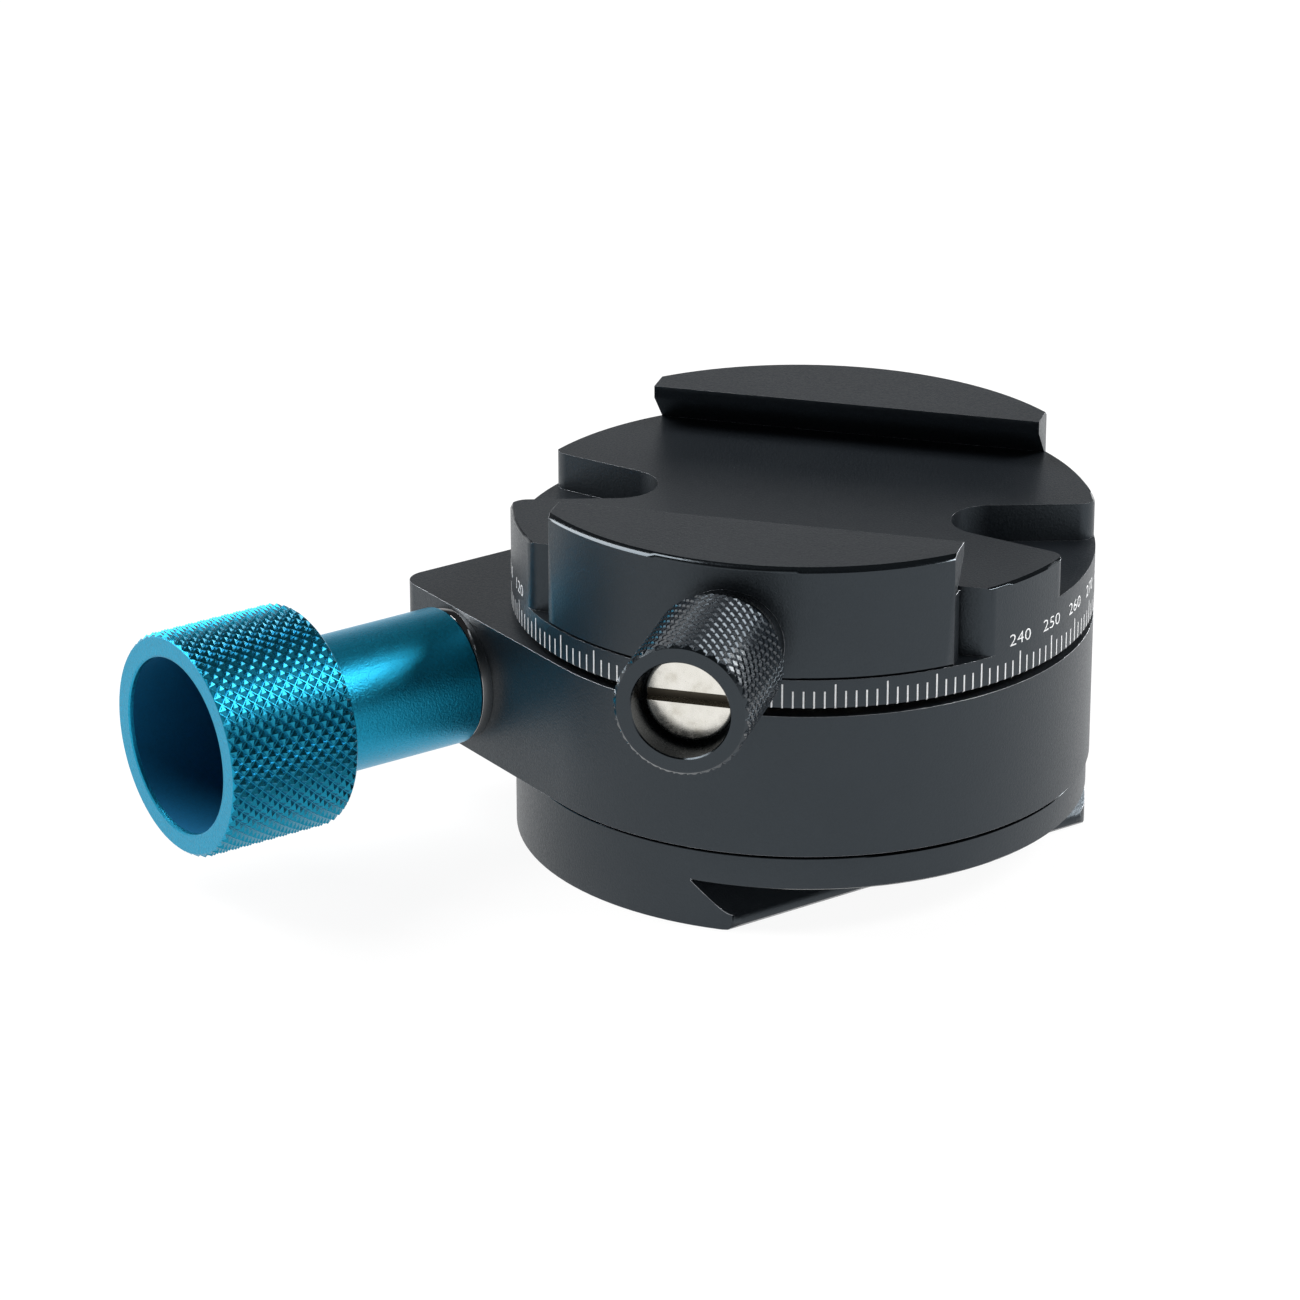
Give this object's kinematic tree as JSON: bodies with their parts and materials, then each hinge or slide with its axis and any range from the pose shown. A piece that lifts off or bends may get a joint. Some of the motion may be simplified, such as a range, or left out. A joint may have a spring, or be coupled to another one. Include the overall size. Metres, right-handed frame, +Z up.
{
  "type": "panoramic tripod head",
  "caption": "Worm-driven panoramic tripod head: dovetail base, graduated turning platform, quick-release clamp with sliding jaw, and knurled drive and clamp knobs.",
  "frame": {"origin": "on the pan axis at the underside of the base, at the mouth of the tripod socket", "axes": "+Z up along the pan axis, +X along the clamp channel, +Y from the sliding jaw to the fixed jaw; the base and its drive are turned 39.4 degrees clockwise under the platform, as pictured"},
  "size_m": [0.0943, 0.0776, 0.0395],
  "materials": {
    "black_anodised": "satin, bead-blasted and black anodised",
    "teal_anodised": "satin, teal anodised",
    "polished_steel": "polished",
    "steel": "machined",
    "dark_screw_steel": "black oxide",
    "nickel": "worn nickel plate",
    "bronze": "machined bronze",
    "slide_ring": "natural low-friction plastic",
    "scale_paint": "white filling of the engraved scale"
  },
  "bodies": {
    "base": {"base_plate": "black_anodised", "tripod_insert": "steel", "base_screws": "dark_screw_steel", "body_housing": "black_anodised", "bearing_outer_race": "steel", "bearing_balls": "steel", "thrust_ring": "slide_ring", "pan_bush": "bronze", "front_worm_bush": "bronze", "rear_worm_bush": "bronze", "worm_ring_nut": "dark_screw_steel", "knob_washer": "polished_steel", "preload_spring": "steel", "worm_thrust_washers": "steel"},
    "platform": {"dial_platform": "black_anodised", "worm_wheel": "bronze", "wheel_screws": "dark_screw_steel", "wheel_washer": "slide_ring", "bearing_inner_race": "steel", "jaw_guide_pins": "steel"},
    "drive": {"worm_shaft": "steel", "worm": "steel", "drive_knob": "teal_anodised", "knob_screw": "dark_screw_steel"},
    "jaw": {"sliding_jaw": "black_anodised", "jaw_springs": "steel"},
    "clamp": {"clamp_knob": "black_anodised", "clamp_screw": "nickel", "clamp_washer": "steel"}
  },
  "joints": [
    {"name": "pan", "type": "hinge", "parent": "base", "child": "platform", "pos_m": [0, 0, 0.0246], "axis": [0, 0, 1], "continuous": true},
    {"name": "drive_turn", "type": "hinge", "parent": "base", "child": "drive", "pos_m": [-0.03419, -0.01074, 0.0166], "axis": [-0.6347, -0.7727, 0], "continuous": true},
    {"name": "jaw_slide", "type": "slide", "parent": "platform", "child": "jaw", "axis": [0, 1, 0], "range_m": [-0.0023, 0.0009]},
    {"name": "clamp_turn", "type": "hinge", "parent": "jaw", "child": "clamp", "pos_m": [0, -0.03, 0.0312], "axis": [0, 1, 0], "range_deg": [-1030, 400]}
  ],
  "couplings": [
    {"joint": "drive_turn", "follows": "pan", "ratio": -36},
    {"joint": "jaw_slide", "follows": "clamp_turn", "m_per_rad": 0.00012732}
  ]
}
